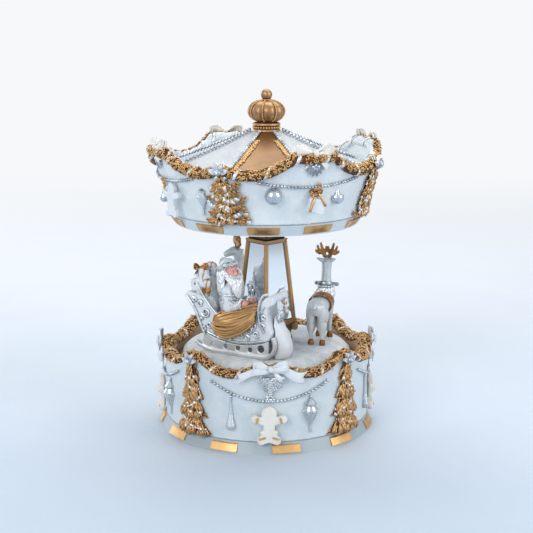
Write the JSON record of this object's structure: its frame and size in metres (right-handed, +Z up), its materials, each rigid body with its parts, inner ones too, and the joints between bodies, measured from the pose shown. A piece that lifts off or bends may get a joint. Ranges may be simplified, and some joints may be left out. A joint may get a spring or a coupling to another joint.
{
  "type": "carousel music box",
  "caption": "Round wind-up music box with a turning snow table, sleigh, two reindeer, mirrored column and scalloped canopy under a crown",
  "frame": {"origin": "centre of the underside of the foot, on the table", "axes": "+Z up along the turning axis, -Y toward the front where the sleigh stands, +X to the viewer's right"},
  "size_m": [0.1302, 0.1302, 0.1869],
  "materials": {
    "ice_resin": "painted cast resin, pale ice white, satin",
    "white_resin": "painted cast resin, white, satin",
    "snow_resin": "painted cast resin, rough snow texture",
    "pearl_resin": "painted cast resin, pearl grey-white",
    "skin_resin": "painted cast resin, pink",
    "antique_gold": "antique copper-gold paint with dark crevices",
    "hoof_brown": "brown-gold paint",
    "antique_silver": "bright silver paint with dark crevices",
    "mirror": "silvered glass",
    "column_core": "dark inner core",
    "deck_board": "painted gold-brown deck",
    "cover_board": "black moulded cover",
    "steel": "plated steel",
    "brass": "brass",
    "aluminium": "bare aluminium"
  },
  "bodies": {
    "base": {"base_wall": "ice_resin", "base_deck": "deck_board", "bottom_cover": "cover_board", "cover_screws": "steel", "base_gold_bars": "antique_gold", "base_garland": "antique_gold", "base_trees": "antique_gold", "base_tree_gems": "antique_silver", "base_bows": "white_resin", "base_swags": "antique_silver", "base_rosettes": "antique_silver", "base_drops": "antique_silver", "gingerbread_men": "white_resin", "gingerbread_cuffs": "antique_gold", "movement_bed": "steel", "comb": "steel", "comb_screws": "steel", "arbor_posts": "brass"},
    "rotor": {"spring_barrel": "brass", "spindle": "steel", "turntable": "snow_resin", "column_core": "column_core", "mirror_panes": "mirror", "column_posts": "antique_gold", "column_foot": "antique_gold", "column_cornice": "antique_gold", "canopy_shell": "ice_resin", "canopy_gold_bars": "antique_gold", "canopy_garland": "antique_gold", "canopy_trees": "antique_gold", "canopy_tree_gems": "antique_silver", "canopy_bows": "white_resin", "canopy_swags": "antique_silver", "canopy_leaves": "antique_silver", "canopy_drops": "antique_silver", "canopy_gifts": "antique_gold", "roof_white_panels": "white_resin", "roof_gold_panels": "antique_gold", "roof_ribs": "antique_silver", "crown": "antique_gold", "crown_trim": "antique_silver", "sleigh_body": "white_resin", "sleigh_runners": "antique_silver", "sleigh_dash": "white_resin", "sleigh_trim": "antique_silver", "blanket": "antique_gold", "santa_coat": "white_resin", "santa_head": "skin_resin", "santa_beard": "white_resin", "santa_hat": "white_resin", "santa_hands": "skin_resin", "gift_heap": "white_resin", "gift_ribbons": "antique_gold", "reindeer_bodies": "pearl_resin", "reindeer_hooves": "hoof_brown", "reindeer_antlers": "antique_gold", "reindeer_harness": "antique_gold"},
    "key": {"winding_key": "brass"},
    "cylinder": {"pinned_cylinder": "brass"},
    "fly": {"governor": "aluminium"}
  },
  "joints": [
    {"name": "table_turn", "type": "hinge", "parent": "base", "child": "rotor", "pos_m": [0, 0, 0.03], "axis": [0, 0, 1], "continuous": true},
    {"name": "key_turn", "type": "hinge", "parent": "base", "child": "key", "pos_m": [0, 0, 0.01], "axis": [0, 0, 1], "continuous": true},
    {"name": "cylinder_turn", "type": "hinge", "parent": "base", "child": "cylinder", "pos_m": [0.026, 0, 0.0229], "axis": [1, 0, 0], "continuous": true},
    {"name": "fly_turn", "type": "hinge", "parent": "base", "child": "fly", "pos_m": [0.04, 0.00886, 0.0229], "axis": [1, 0, 0], "continuous": true}
  ],
  "couplings": [
    {"joint": "cylinder_turn", "follows": "table_turn", "ratio": 5.5},
    {"joint": "fly_turn", "follows": "table_turn", "ratio": -24.75}
  ]
}
